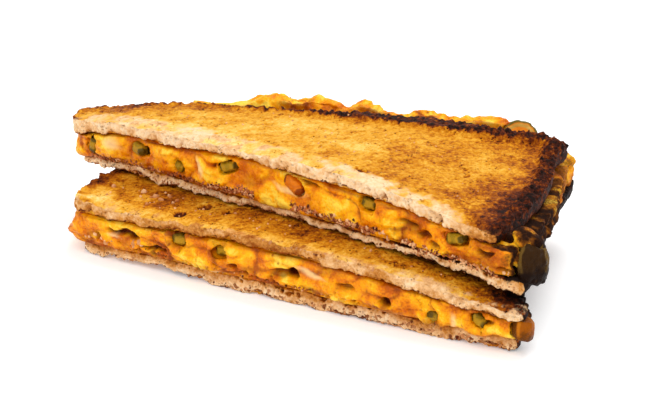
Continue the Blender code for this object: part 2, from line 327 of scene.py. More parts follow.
# %% Named holes, marks and pores
def dents(places, spots):
    """Depth in millimetres of given holes at places on the cut face."""
    depth = np.zeros(len(places))
    for s, z, wide, high, deep in spots:
        away = np.hypot((places[:, 0] - s) / wide, (places[:, 2] - z) / high)
        depth = np.maximum(depth, deep * ease(away, 1.15, 0.55))
    return depth


def marks(places, spots):
    """Depth in millimetres of given marks at places on a face that lies flat."""
    depth = np.zeros(len(places))
    for s, d, wide, long, deep in spots:
        away = np.hypot((places[:, 0] - s) / wide, (places[:, 1] - d) / long)
        depth = np.maximum(depth, deep * ease(away, 1.2, 0.5))
    return depth


def scattered_pores(count, span, line, seed):
    """Small round holes about a line of heights along a span of the cut."""
    luck = np.random.default_rng(seed)
    pores = []
    for _ in range(count):
        place = luck.uniform(*span)
        wide = luck.uniform(0.35, 0.8)
        height = np.interp(place, *line) + luck.normal(0, 0.9)
        pores.append((place, height, wide, wide * luck.uniform(0.8, 1.2), luck.uniform(0.8, 1.6)))
    return pores


PORES = {
    "lower": [
        (65.8, 6.8, 1.0, 0.9, 1.8), (74.6, 7.7, 0.9, 0.8, 1.6), (79.8, 3.8, 1.1, 0.8, 1.8),
        (87.7, 5.7, 0.9, 0.9, 1.6), (91.8, 4.4, 1.0, 0.8, 1.6), (68.6, 0.6, 2.2, 1.3, 2.0),
        *scattered_pores(64, (44, 112), ([44, 75, 112], [6.8, 5.4, 4.6]), 501),
        *scattered_pores(16, (2, 40), ([2, 40], [7.0, 6.0]), 502),
    ],
    "upper": scattered_pores(30, (10, 170), ([10, 60, 120, 170], [22.8, 23.6, 23.6, 21.4]), 503),
}

# %% Shape the four slices
def browning_at(share, levels):
    """A value between evenly spaced levels along the cut."""
    return np.interp(share, np.linspace(0, 1, len(levels)), levels)


HIGHEST = max(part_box(node)[1].z for node in nodes) / MM + 0.9


def shape_slice(half, layer, voxel, keep, seed, look):
    """A slice of toast with its crumb, its browned faces and its burnt rim."""
    node = f"{half}_{layer}_toast"
    piece = dense_copy("toasted_" + node, [nodes[node].data], voxel, 3)
    facts = facts_of(piece, half, layer)
    places, share = facts["places"], facts["share"]
    along = places * np.array([0.9, 0.75, 1.0])
    ragged = rough(places, 4.0, seed + 3)
    tip = ease(places[:, 0] + 1.5 * ragged, 9.0, 4.0) * (1 - facts["top"]) * (1 - facts["under"])
    front = np.clip(np.maximum(facts["front"], look["torn_tip"] * tip) * (1.1 + 0.5 * ragged), 0, 1)
    flat = facts["top"] + facts["under"]
    near_cut = facts["cut_far"] + 1.4 * ragged
    rim_wide = browning_at(share, look["rim_wide"])
    rim = ease(facts["crust_far"] + 1.0 * rough(places, 3.0, seed + 5), rim_wide + 0.9, rim_wide - 0.9)
    rim = rim * ease(rim_wide, 0.1, 1.2) * (1 - front)
    flakes, flake_tone = cells(along + 0.7 * ragged[:, None], 1.7, seed + 11)
    move = 0.25 * rough(places, 6.0, seed) + 0.10 * rough(along, 1.5, seed + 9)
    move += 0.22 * flat * (ease(flakes, 0.7, 0.2) - 0.5)
    pits, luck = cells(along, 3.0, seed + 21)
    pit = ease(pits, 0.30, 0.12) * (luck > look["pits"]) * flat * ease(near_cut, 1.5, 3.5)
    move -= 0.8 * pit
    crumb = crumb_relief(places, seed + 30)
    hollows = rough(places, 3.2, seed + 37)
    open_top = facts["top"] * ease(near_cut, 5.0, 1.0)
    move -= crumb * np.clip(front + 0.5 * open_top, 0, 1)
    move += 0.42 * front * hollows
    pore = dents(places, PORES[half]) * front
    dot = marks(places, look["marks"]) * facts["top"]
    move -= pore + dot + dents(places, look["nicks"]) * front
    lumps, _ = cells(places, 2.0, seed + 60)
    rise = browning_at(share, look["rim_rise"]) * (0.12 + 0.88 * facts["top"])
    move += rim * rise * (1.15 - 0.7 * lumps + 0.4 * rough(places, 1.2, seed + 61))
    final = pushed(facts, move)
    final[:, 0] -= look["draw_in"] * ease(share, 0.72, 1.0) * ease(places[:, 1], 14, -4)
    swell = ease(facts["crust_far"], 14, 1) * ease(places[:, 0], 118, 135)
    final[:, 0] += look["swell"] * swell * np.exp(-(((places[:, 1] - 34) / 20) ** 2))
    final[:, 1] -= browning_at(share, look["back_in"]) * np.clip(places[:, 1] / 60, 0, 1)
    lane = np.stack([places[:, 0], 0 * share, 0.3 * places[:, 2]], axis=1)
    tremble = rough(lane, 8.0, seed + 35) + 0.5 * rough(lane, 2.5, seed + 36)
    final[:, 2] += look["wander"] * facts["front"] * tremble
    torn = ease(facts["cut_far"], 3.0, 0.5) * facts["under"] * look["wander"]
    final[:, 2] += 0.9 * torn * np.abs(rough(places * np.array([1.0, 0.4, 0.0]), 2.2, seed + 38))
    s, d, reach, push = look["corner"]
    corner = np.exp(-(((places[:, 0] - s) ** 2 + (places[:, 1] - d) ** 2) / reach**2))
    final[:, :2] += push * corner[:, None] * np.array([0.85, 0.5])
    slump = browning_at(share, look["slump"]) * ease(facts["cut_far"] + ragged, look["slump_wide"], 0) ** 1.5
    upper_part = ease(facts["facing"][:, 2], -0.3, 0.9)
    final[:, 2] -= slump * upper_part
    final[:, 2] = np.clip(final[:, 2], 0.15, HIGHEST - 0.3 * rim * lumps)
    reshape(piece, from_half(final, half))

    pale_wide = browning_at(share, look["pale_wide"])
    pale = ease(near_cut + 1.2 * rough(places, 2.0, seed + 33), pale_wide + 3.0, pale_wide - 3.0)
    patches = 0.09 * rough(along, 6.0, seed + 70) + 0.05 * rough(along, 1.3, seed + 71)
    patches += 0.16 * (flake_tone - 0.5) * ease(flakes, 0.65, 0.35)
    brown = browning_at(share, look["browning"]) + patches + 0.09 * rough(places, 14.0, seed + 72)
    brown = brown - look["paleness"] * pale * facts["top"]
    brown = brown + look["edge_burn"] * ease(facts["crust_far"], look["burn_wide"], 1.0)
    crust = np.clip(1 - front - flat, 0, 1)
    charred = look["char"] + 0.10 * rough(places, 1.5, seed + 73)
    brown = np.maximum(brown, np.maximum(rim, crust * 0.95) * charred)
    brown = np.maximum(brown, np.maximum(0.72 * pit, 0.85 * ease(dot, 0.1, 0.6)))
    brown = brown - 0.22 * marks(places, look["bald"]) * (0.7 + 0.5 * ragged)
    paint(piece, "browned", brown)
    paint(piece, "open_crumb", np.maximum(front, pale * facts["top"] * (look["open_top"] + 0.5 * ragged)))
    # Painted shade: the crumb is coloured darker where its pores and hollows are deep.
    shade = np.clip(crumb * 1.5, 0, 1) + 0.35 * ease(hollows, 0.0, -1.0)
    paint(piece, "pore", shade * np.maximum(front, pale * 0.6))
    low, high = look["seams"]
    level = slice_level(places)
    torn_level = level + 0.14 * ragged
    seam = np.maximum(low * ease(torn_level, look["seam_wide"], 0.05), high * ease(torn_level, 0.78, 0.96))
    paint(piece, "seam", seam * front * (0.75 + 0.6 * rough(places, 2.5, seed + 81)))
    # Oil staining from the cheese, plus painted shade: darker in hollows and darkest inside the listed pores.
    soaked = look["stain"](level) + 0.12 * ragged + 0.2 * rough(places, 16.0, seed + 83) - 0.12 * hollows
    soaked += 0.3 * (flake_tone - 0.5) * ease(flakes, 0.65, 0.35) + browning_at(share, look["stain_along"])
    paint(piece, "stain", np.maximum(soaked, 1.3 * ease(pore, 0.1, 0.8)))
    decimate(piece, keep)
    print(piece.name, "triangles", count_faces(piece))
    return piece


def slice_level(places):
    """Height within the slice near the cut, 0 at its under side and 1 at its top."""
    ahead = places[:, 1] < 4.0
    bins = np.clip((places[:, 0] / 4.0).astype(int) + 3, 0, 60)
    low, high = np.full(64, 0.0), np.full(64, 1.0)
    for k in np.unique(bins[ahead]):
        column = places[ahead & (bins == k), 2]
        low[k], high[k] = column.min(), column.max()
    return (places[:, 2] - low[bins]) / np.maximum(high[bins] - low[bins], 0.5)


def decimate(piece, keep):
    """Thin out faces where the surface is flat."""
    thin = piece.modifiers.new("thin", "DECIMATE")
    thin.ratio = keep
    apply_modifiers(piece)


PLAIN_LOOK = {
    "draw_in": 0.0, "swell": 0.0, "corner": (0.0, 0.0, 1.0, 0.0), "back_in": [0.0],
    "nicks": [], "marks": [], "bald": [],
}
TOAST_LOOKS = {
    ("upper", "top"): {
        "rim_wide": [1.2, 1.6, 2.2, 4.8, 7.2, 4.8, 2.6], "rim_rise": [0.9, 1.1, 1.3, 1.9, 2.5, 2.5, 1.4],
        "char": 0.87, "draw_in": 2.5, "swell": 2.8, "corner": (145.0, 66.0, 6.0, 4.0),
        "back_in": [0, 0, 0, 1, 2.5, 1.5, 0], "wander": 0.6, "torn_tip": 0.7,
        "slump": [0.9, 0.8, 0.6, 0.4, 0.3, 0.4, 3.0], "slump_wide": 7.0,
        "pits": 0.88, "browning": [0.52, 0.45, 0.32, 0.35, 0.44, 0.50, 0.74],
        "pale_wide": [6, 9, 11, 9, 8, 7, 2], "paleness": 0.2, "edge_burn": 0.15, "burn_wide": 12.0,
        "seams": (1.0, 0.0), "seam_wide": 0.26, "open_top": 0.6,
        "stain": lambda level: 0.02 + 0.2 * ease(level, 0.6, 0.0),
        "stain_along": [*[0] * 12, 0.6],
        "nicks": [(130.0, 35.6, 1.3, 1.6, 2.4), (151.0, 33.0, 0.5, 2.2, 1.4), (112.0, 34.6, 2.0, 0.8, 1.0)],
        "marks": [(121.9, 17.8, 2.0, 1.0, 0.5), (85.3, 17.5, 0.5, 1.6, 0.5), (121.5, 26.0, 0.6, 1.2, 0.6),
                  (116.2, 1.0, 3.6, 0.9, 0.7), (140.0, 22.0, 0.8, 2.2, 0.5), (160.0, 9.0, 0.8, 2.6, 0.5),
                  (30.0, 4.0, 0.8, 1.0, 0.8), (64.0, 20.0, 2.6, 0.5, 0.4), (94.0, 31.0, 3.2, 0.5, 0.4)],
        "bald": [(102.7, 18.6, 11.0, 5.0, 1.0), (60.0, 12.0, 12.0, 6.0, 0.5), (138.0, 34.0, 9.0, 7.0, 0.5),
                 (1.0, 2.0, 7.0, 4.0, 1.3)],
    },
    ("upper", "bottom"): {
        "rim_wide": [0.5, 1.0, 1.5, 2.0, 2.5, 3.0, 3.0], "rim_rise": [0.9], "char": 0.92,
        "wander": 1.0, "torn_tip": 0.7, "slump": [0.0], "slump_wide": 5.0,
        "pits": 0.7, "browning": [0.6, 0.62, 0.7, 0.75, 0.8, 0.9, 0.95],
        "pale_wide": [1.0], "paleness": 0.1, "edge_burn": 0.2, "burn_wide": 8.0,
        "seams": (1.0, 0.7), "seam_wide": 0.34, "open_top": 0.0,
        "stain": lambda level: 0.08 + 0.25 * ease(level, 0.5, 1.0), "stain_along": [-0.1, 0, 0, 0, 0, 0, 0.2],
        "nicks": [(120.0, 19.6, 1.2, 1.2, 1.6)],
    },
    ("lower", "top"): {
        "rim_wide": [1.5, 1.8, 1.5, 2.0, 2.5, 3.0, 4.0], "rim_rise": [1.0], "char": 0.80,
        "wander": 0.7, "torn_tip": 1.0,
        "slump": [0.9, 0.6, 0.4, 0.4, 0.4, 0.3, 0.3], "slump_wide": 5.0,
        "pits": 0.72, "browning": [0.56, 0.56, 0.50, 0.56, 0.52, 0.50, 0.98],
        "pale_wide": [6, 5, 4, 4, 4, 4, 4], "paleness": 0.22, "edge_burn": 0.2, "burn_wide": 8.0,
        "seams": (1.0, 0.0), "seam_wide": 0.28, "open_top": 0.5,
        "stain": lambda level: 0.42 + 0.25 * ease(level, 0.6, 0.0),
        "stain_along": [-0.25, 0.1, 0.1, 0.1, 0, -0.1, -0.4],
        "nicks": [(8.0, 15.0, 1.5, 0.8, 1.2), (60.0, 16.6, 1.6, 0.8, 1.2)],
        "marks": [(38.0, 3.0, 1.8, 2.6, 1.3), (41.1, 12.0, 2.4, 2.6, 1.3), (50.6, 10.4, 1.4, 1.8, 1.0),
                  (86.0, 6.0, 0.8, 0.8, 0.6), (112.0, 3.0, 1.4, 1.0, 0.8)],
        "bald": [(20.0, 9.0, 3.0, 3.0, 0.8), (12.0, 14.0, 2.0, 2.0, 0.8), (3.0, 4.0, 9.0, 8.0, 2.8)],
    },
    ("lower", "bottom"): {
        "rim_wide": [1.0, 1.0, 1.5, 2.0, 2.0, 2.5, 2.5], "rim_rise": [0.7], "char": 0.72,
        "wander": 1.0, "torn_tip": 0.8, "slump": [0.0], "slump_wide": 5.0,
        "pits": 0.7, "browning": [0.6, 0.6, 0.62, 0.66, 0.7, 0.7, 0.75],
        "pale_wide": [1.0], "paleness": 0.1, "edge_burn": 0.15, "burn_wide": 8.0,
        "seams": (1.0, 0.0), "seam_wide": 0.36, "open_top": 0.0,
        "stain": lambda level: 0.3 + 0.3 * ease(level, 0.4, 0.85),
        "stain_along": [0, 0, 0, -0.05, -0.1, -0.15, -0.1],
    },
}
SKINS = {
    ("upper", "top"): (0.46, 0.6, 11), ("upper", "bottom"): (0.5, 0.35, 12),
    ("lower", "top"): (0.46, 0.45, 13), ("lower", "bottom"): (0.5, 0.4, 14),
}
toasts = {}
for key, (voxel, keep, seed) in SKINS.items():
    toasts[key] = shape_slice(*key, voxel, keep, seed, {**PLAIN_LOOK, **TOAST_LOOKS[key]})

# %% [markdown]
# ## Melted cheese
# The filling is grated cheese, half melted: soft lumps that run together, folds with
# deep orange creases, holes where air was, and thick beads that hang out past the bread.
# Beads are rounded lumps joined to the solid by the remesh. The folds and the holes are
# pushed in afterwards. Creases, holes and the edges where the cheese meets the bread are
# remembered and coloured darker, which is painted shade.

# %% Cheese helpers
def lump(place, sizes, half, lean=0.0):
    """A rounded lump as a mesh, at a place and with radii in millimetres."""
    ball = bmesh.new()
    bmesh.ops.create_icosphere(ball, subdivisions=3, radius=1.0)
    mesh = bpy.data.meshes.new("lump")
    ball.to_mesh(mesh)
    ball.free()
    points = points_of(mesh) * np.array(sizes)
    tilt = math.radians(lean)
    leaning = points.copy()
    leaning[:, 0] = points[:, 0] * math.cos(tilt) - points[:, 2] * math.sin(tilt)
    leaning[:, 2] = points[:, 0] * math.sin(tilt) + points[:, 2] * math.cos(tilt)
    final = from_half(leaning + np.array(place), half)
    mesh.vertices.foreach_set("co", final.astype(np.float32).ravel())
    mesh.update()
    return mesh


# %% Shape the two fillings
HOLES = {
    "upper": [
        (9.5, 27.5, 1.6, 3.6, 3.5), (33.0, 29.5, 2.6, 1.9, 3.6), (66.0, 31.6, 3.2, 1.1, 2.4),
        (101.0, 33.5, 5.0, 1.0, 2.0), (137.0, 29.0, 4.0, 1.0, 2.0), (168.5, 31.4, 2.6, 1.6, 4.0),
        (164.5, 27.0, 3.2, 1.1, 2.4), (143.0, 26.8, 3.4, 1.3, 2.2), (146.5, 24.6, 2.2, 1.2, 2.0),
        (170.2, 23.6, 1.8, 1.3, 2.6), (152.0, 28.6, 2.4, 1.0, 1.6), (124.0, 30.4, 1.6, 0.8, 1.4),
    ],
    "lower": [
        (10.8, 7.6, 1.0, 0.9, 2.0), (19.8, 10.9, 6.0, 1.3, 3.2), (31.0, 7.9, 5.5, 1.1, 3.0),
        (78.4, 9.9, 4.2, 1.7, 1.8), (81.6, 10.4, 2.0, 1.9, 4.0),
        (113.4, 8.1, 2.0, 1.5, 3.6), (144.8, 9.2, 2.6, 1.0, 2.0),
        (100.0, 10.6, 4.0, 0.7, 1.8), (56.0, 8.4, 1.2, 1.0, 1.8), (62.0, 9.0, 1.2, 1.1, 1.8),
    ],
}
BEADS = {
    "upper": [
        ((3.0, 1.0, 27.0), (3.2, 3.4, 3.2), 0), ((16.0, 1.0, 29.0), (6.0, 3.0, 3.0), -6),
        ((24.0, 1.0, 28.4), (5.0, 2.8, 2.8), 8), ((45.0, 1.5, 29.0), (6.5, 3.4, 3.4), 5),
        ((58.0, 1.0, 27.2), (4.5, 3.0, 2.6), -10), ((79.0, 1.0, 28.2), (8.0, 3.4, 3.0), -4),
        ((92.0, 1.0, 30.2), (8.5, 3.2, 2.7), 6), ((108.0, 1.0, 29.2), (9.0, 3.2, 2.6), -5),
        ((118.0, 1.0, 28.2), (5.0, 3.4, 3.0), 10), ((133.0, 1.2, 26.2), (7.0, 3.6, 2.8), -6),
        ((144.0, 1.0, 28.4), (7.0, 3.8, 3.0), 0), ((158.0, 1.2, 27.4), (6.5, 3.6, 2.6), 4),
        ((168.0, 1.0, 28.4), (5.5, 3.4, 3.0), -20), ((173.0, 2.0, 31.0), (4.0, 3.4, 2.6), -30),
        ((172.8, 0.6, 25.8), (3.2, 3.8, 3.4), 0),
    ],
    "lower": [
        ((-1.5, 3.0, 7.2), (3.2, 4.2, 2.0), 10), ((5.0, 2.5, 9.8), (6.0, 3.4, 2.0), 10),
        ((14.0, 2.0, 9.2), (6.0, 3.0, 2.4), -12), ((28.0, 1.6, 10.2), (7.0, 3.2, 2.0), -8),
        ((38.0, 1.6, 10.6), (5.0, 3.2, 2.2), 4), ((50.0, 1.6, 11.0), (5.0, 3.2, 2.4), 0),
        ((68.0, 1.6, 12.2), (9.0, 3.4, 1.9), -6), ((90.0, 1.6, 10.4), (9.0, 3.6, 2.6), 6),
        ((104.0, 1.6, 8.8), (6.5, 3.8, 2.0), 12), ((120.0, 1.6, 8.4), (6.0, 3.6, 2.4), -8),
        ((128.0, 1.6, 7.8), (5.0, 3.8, 2.6), 0), ((138.0, 1.6, 7.4), (5.0, 3.6, 2.2), 10),
        ((149.0, 2.0, 6.6), (6.0, 3.6, 2.4), 0), ((152.6, 2.4, 6.8), (3.6, 3.2, 2.4), 0),
    ],
}
STREAKS = {
    "upper": [(20.6, 29.5, 4.0, 1.6), (57.8, 29.2, 1.3, 2.6), (94.0, 30.6, 6.0, 1.0)],
    "lower": [(133.5, 8.4, 1.0, 2.6), (17.0, 9.2, 2.6, 0.9), (88.0, 11.0, 6.0, 0.8), (56.0, 6.0, 2.5, 0.7)],
}


def collars(places, spots):
    """How near places on the cut face are to the rims of the chips in it."""
    near = np.zeros(len(places))
    for middle, reach in spots:
        away = np.hypot(places[:, 0] - middle[0], places[:, 2] - middle[2]) - reach
        near = np.maximum(near, ease(np.abs(away - 0.6), 2.2, 0.0))
    return near


def chip_spots(half):
    """Middle and reach of each chip that lies in a half's cut face, in its millimetres."""
    spots = []
    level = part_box(half + "_bottom_toast")[0].z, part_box(half + "_top_toast")[1].z
    for name in sorted(nodes):
        if "pepper" in name and "slice" not in name:
            places = to_half(points_of(nodes[name].data), half)
            middle = places.mean(axis=0)
            if level[0] < middle[2] * MM < level[1] and abs(middle[1]) < 4:
                spots.append((middle, 0.5 * np.ptp(places[:, 0])))
    return spots


SIDE_LINES = {"upper": ((175.0, -7.0), (146.0, 70.0)), "lower": ((156.0, 0.0), (96.0, 91.0))}


def inward_of_side(places, half):
    """How far places lie inward of the straight right side of a half."""
    start, end = (np.array(corner) for corner in SIDE_LINES[half])
    run = (end - start) / np.linalg.norm(end - start)
    return (places[:, :2] - start) @ np.array([-run[1], run[0]])


def shape_cheese(half, voxel, keep, seed):
    """A filling with beads, folds, holes and pale streaks."""
    meshes = [nodes[half + "_cheese"].data]
    meshes += [lump(place, sizes, half, lean) for place, sizes, lean in BEADS[half]]
    piece = dense_copy("melted_" + half + "_cheese", meshes, voxel, 4)
    places = to_half(points_of(piece.data), half)
    facing = turned(normals_of(piece.data), -TURNS[half])
    front = ease(-facing[:, 1], 0.2, 0.7)
    edge = ease(1 - np.abs(facing[:, 2]), 0.15, 0.6)
    ragged = rough(places, 4.0, seed + 3)
    bent = places + 2.2 * np.stack([waves(places, 7.0, seed + k) for k in range(3)], axis=1)
    folds = np.abs(waves(bent * np.array([0.6, 1, 1.3]), 9.5, seed + 5))
    wrinkle = np.abs(waves(bent * np.array([0.7, 1, 1.2]), 3.4, seed + 6))
    shreds = np.abs(waves(bent * np.array([0.45, 1, 1.5]), 1.5, seed + 7))
    loose = places + 0.9 * np.stack([waves(places, 3.0, seed + 50 + k) for k in range(3)], axis=1)
    hole = np.maximum(dents(loose, HOLES[half]), dents(places, PORES[half])) * front
    collar = collars(places, chip_spots(half)) * front
    busy = 0.35 + 0.65 * ease(waves(places, 11.0, seed + 9), -0.2, 0.5)
    move = edge * (1.9 * folds ** 0.7 - 1.0 + busy * (0.9 * wrinkle ** 0.7 + 0.6 * shreds)) - hole
    move += 1.3 * collar
    move += edge * 0.28 * rough(places, 1.3, seed + 8)
    behind = ease(places[:, 1], 30, 50)
    move += behind * (1.1 * np.abs(waves(bent, 4.0, seed + 19)) + 0.5 * rough(places, 2.2, seed + 20) - 0.5)
    final = places + facing * move[:, None]
    final[:, 2] = np.maximum(final[:, 2], 0.3)
    reshape(piece, from_half(final, half))
    # Painted shade: fold valleys, fine wrinkles, small cells, and the foot and top of the cheese where it
    # meets the bread are marked to be coloured darker.
    fine_lines = 0.6 * ease(wrinkle, 0.12, 0.0) + 0.5 * ease(shreds, 0.12, 0.0)
    crease = ease(folds, 0.10, 0.0) * 0.7 + busy * fine_lines
    crease = crease + 0.6 * ease(cells(bent, 2.6, seed + 17)[0], 0.2, 0.08)
    foot = slice_level(places)
    crease = crease + 0.7 * front * ease(foot + 0.1 * ragged, 0.2, 0.04)
    crease = crease + 0.7 * front * ease(foot, 0.86, 0.97)
    paint(piece, "crease", crease * (0.7 + 0.8 * waves(places, 8.0, seed + 15)))
    # Painted shade inside the holes.
    paint(piece, "hollow", ease(hole, 0.3, 3.0) ** 0.8)
    pale = np.zeros(len(places))
    for s, z, wide, high in STREAKS[half]:
        away = np.hypot((bent[:, 0] - s) / wide, (bent[:, 2] - z) / high)
        pale = np.maximum(pale, 0.8 * ease(away, 1.3, 0.3) * front)
    paint(piece, "pale", pale)
    # Yellow level: real patches of tone, plus painted shade that turns fold valleys orange and crests yellow.
    patches = 0.34 * rough(bent, 9.0, seed + 12) + 0.22 * rough(bent, 3.0, seed + 13)
    paint(piece, "yolk", 0.42 + patches + 0.8 * (folds - 0.25) + 0.4 * (wrinkle - 0.25))
    side = inward_of_side(places, half) + 7.0 * front
    depths = [NEAR_SCORCH[half], 1.05, 1.0, 0.7, 0.36]
    scorch = ease(side, 11.0, 5.0) * np.interp(places[:, 1], [0, 9, 30, 46, 62], depths)
    scorch = scorch * np.clip(0.9 + 0.9 * rough(places, 3.0, seed + 16), 0.45, 1.15)
    scorch = scorch * ease(places[:, 0], 60, 100)
    glaze = 0.5 * front * ease(places[:, 0], *GLAZED[half]) * ease(rough(places, 3.0, seed + 18), -0.3, 0.3)
    paint(piece, "scorched", np.maximum(scorch, glaze))
    decimate(piece, keep)
    print(piece.name, "triangles", count_faces(piece))
    return piece


GLAZED = {"upper": (158.0, 176.0), "lower": (170.0, 190.0)}
NEAR_SCORCH = {"upper": 0.95, "lower": 0.4}
fillings = {
    "upper": shape_cheese("upper", 0.46, 0.62, 31),
    "lower": shape_cheese("lower", 0.46, 0.62, 41),
}

# %% [markdown]
# ## Pepper
# Small chips of pickled green pepper and one of red sit in the cheese with a cut side out.
# Three thick slices bulge from the edges. A chip is a bent piece of wall with glossy skin
# on one side, and a slice is round, with a pale ring under its skin; a slice is also
# painted darker lower down and lighter at its top, which is painted shade and highlight.
# The solids already have these places and sizes, so each gets a fine wavy skin and knows
# where its rim is.

# %% Shape the chips and the slices
CHIPS = [name for name in nodes if name.startswith(("green_pepper", "red_pepper"))]
SLICES = [name for name in nodes if name.startswith("pepper_slice")]
CHIP_SINK = 1.8
CHIP_SIZE = 0.95


SLICE_STRETCH = {
    "pepper_slice_side": ((0.86, 1.0, 1.7), (0.0, 0.7, -0.6)),
    "pepper_slice_end": ((0.74, 0.95, 1.4), (-0.4, -0.4, 0.4)),
}
SLICE_WAVE = {"pepper_slice_side": 0.85, "pepper_slice_back": 0.35, "pepper_slice_end": 0.25}


RING_AXES = {"pepper_slice_side": (0.55, -0.8, 0.25), "pepper_slice_end": (0.8, -0.6, 0.1)}


def own_axes(node, points):
    """Middle of some points, and their through, middle and long directions as columns."""
    middle = points.mean(axis=0)
    _, axes = np.linalg.eigh(np.cov((points - middle).T))
    if node in RING_AXES:
        through = np.array(RING_AXES[node]) / np.linalg.norm(RING_AXES[node])
        level = np.cross(through, (0.0, 0.0, 1.0))
        level = level / np.linalg.norm(level)
        axes = np.stack([through, level, np.cross(level, through)], axis=1)
    return middle, axes


def shape_pepper(node, voxel, wave, seed):
    """A pepper piece with a wavy skin, which knows how near it is to its rim."""
    piece = dense_copy("sliced_" + node, [nodes[node].data], voxel, 2)
    points = points_of(piece.data)
    middle, axes = own_axes(node, points)
    places = (points - middle) / MM
    facing = normals_of(piece.data)
    own = places @ axes
    round_off = np.hypot(own[:, 1], own[:, 2])
    round_off = round_off / np.percentile(round_off, 98)
    move = wave * rough(places, 3.0, seed) + 0.08 * rough(places, 0.9, seed + 3)
    if node in CHIPS:
        points = middle + (points - middle) * CHIP_SIZE + np.array([0.0, CHIP_SINK * MM, 0.0])
    if node in SLICE_STRETCH:
        stretch, shift = SLICE_STRETCH[node]
        points = middle + (points - middle) * np.array(stretch) + np.array(shift) * MM
    reshape(piece, points + facing * move[:, None] * MM)
    height = (places[:, 2] - places[:, 2].min()) / np.ptp(places[:, 2])
    side = 1.15 * height - 0.45 if seed % 2 else 0.7 - 1.15 * height
    # On slices the dark outer colour lies lower down and the flesh and ring higher up: painted shade below
    # and painted highlight above.
    if node in SLICES:
        side = 1.05 - 1.25 * height
    paint(piece, "rim", round_off + 0.05 * rough(places, 3.0, seed + 5))
    paint(piece, "skin", side + 0.15 * rough(places, 2.5, seed + 6))
    return piece


chips = {name: shape_pepper(name, 0.24, 0.4, 70 + k) for k, name in enumerate(sorted(CHIPS))}
slices = {name: shape_pepper(name, 0.30, SLICE_WAVE[name], 90 + k) for k, name in enumerate(sorted(SLICES))}
print("pepper triangles", sum(count_faces(p) for p in [*chips.values(), *slices.values()]))

# %% [markdown]
# ## Loose crumbs
# The knife dragged crumbs along the cut. Burnt reddish ones lie along the foot of the
# cheese, pale ones stick to it, and toasted ones hang from the lower edges. Each kind is one
# mesh of many small irregular grains, set on the surface with a ray from the front.

# %% Where a crumb would land
def tree_of(pieces):
    """A search tree over several pieces, for rays."""
    points, faces = [], []
    for piece in pieces:
        start = len(points)
        points += [vertex.co.copy() for vertex in piece.data.vertices]
        faces += [[start + k for k in face.vertices] for face in piece.data.polygons]
    return BVHTree.FromPolygons(points, faces)


def landing(tree, half, s, z):
    """Where a ray along the knife's face meets a surface that faces it, or nothing."""
    start = Vector(from_half([[s, -30.0, z]], half)[0])
    ahead = Vector(turned(np.array([[0.0, 1.0, 0.0]]), TURNS[half])[0])
    hit, normal = tree.ray_cast(start, ahead, 0.06)[:2]
    return hit if hit is not None and normal.dot(ahead) < -0.45 else None


def grains(name, spots, seed):
    """One mesh of irregular grains at spots of place and radius, in metres."""
    luck = np.random.default_rng(seed)
    ball = bmesh.new()
    bmesh.ops.create_icosphere(ball, subdivisions=2, radius=1.0)
    base = np.array([vertex.co for vertex in ball.verts])
    faces = np.array([[vertex.index for vertex in face.verts] for face in ball.faces])
    ball.free()
    points, polygons, tints = [], [], []
    for k, (place, radius) in enumerate(spots):
        knobs = 1 + 0.28 * rough(base + luck.uniform(-50, 50, 3), 0.9, seed)
        squash = luck.uniform(0.6, 1.15, 3)
        spin, _ = np.linalg.qr(luck.normal(size=(3, 3)))
        shape = (base * knobs[:, None] * squash) @ spin * radius
        points.append(shape + np.array(place))
        polygons.append(faces + k * len(base))
        tints.append(np.full(len(base), luck.uniform()))
    mesh = bpy.data.meshes.new(name)
    mesh.from_pydata(np.concatenate(points).tolist(), [], np.concatenate(polygons).tolist())
    mesh.validate()
    mesh.shade_smooth()
    piece = bpy.data.objects.new(name, mesh)
    bpy.context.scene.collection.objects.link(piece)
    paint(piece, "tint", np.concatenate(tints))
    print(name, "grains", len(spots), "triangles", count_faces(piece))
    return piece


def scatter(tree, half, stretches, seed):
    """Spots along stretches of (from s, to s, from z, to z, how many, least and most radius)."""
    luck = np.random.default_rng(seed)
    sunk = Vector(turned(np.array([[0.0, 0.5, 0.0]]), TURNS[half])[0])
    spots = []
    for s0, s1, z0, z1, count, least, most in stretches:
        for _ in range(count):
            share = luck.uniform()
            s = s0 + share * (s1 - s0)
            z = z0 + share * (z1 - z0) + luck.normal(0, 0.6) + 0.9 * math.sin(s * 0.7) * luck.uniform()
            radius = least + (most - least) * luck.uniform() ** 2
            hit = landing(tree, half, s, z)
            if hit is not None and hit.z > 1.5 * radius * MM:
                spots.append((hit + sunk * radius * MM, radius * MM))
    return spots


def sprinkled(tree, half, stretches, seed):
    """Spots on faces that look up, over stretches of s and d below a highest z."""
    luck = np.random.default_rng(seed)
    spots = []
    for s0, s1, d0, d1, highest, count, most in stretches:
        for _ in range(count):
            start = Vector(from_half([[luck.uniform(s0, s1), luck.uniform(d0, d1), 60.0]], half)[0])
            radius = 0.25 + (most - 0.25) * luck.uniform() ** 2
            hit, normal = tree.ray_cast(start, Vector((0, 0, -1)), 0.08)[:2]
            if hit is not None and normal.z > 0.7 and hit.z < highest * MM:
                spots.append((hit + Vector((0, 0, 0.2 * radius * MM)), radius * MM))
    return spots


everything = [*toasts.values(), *fillings.values()]
food = tree_of(everything)

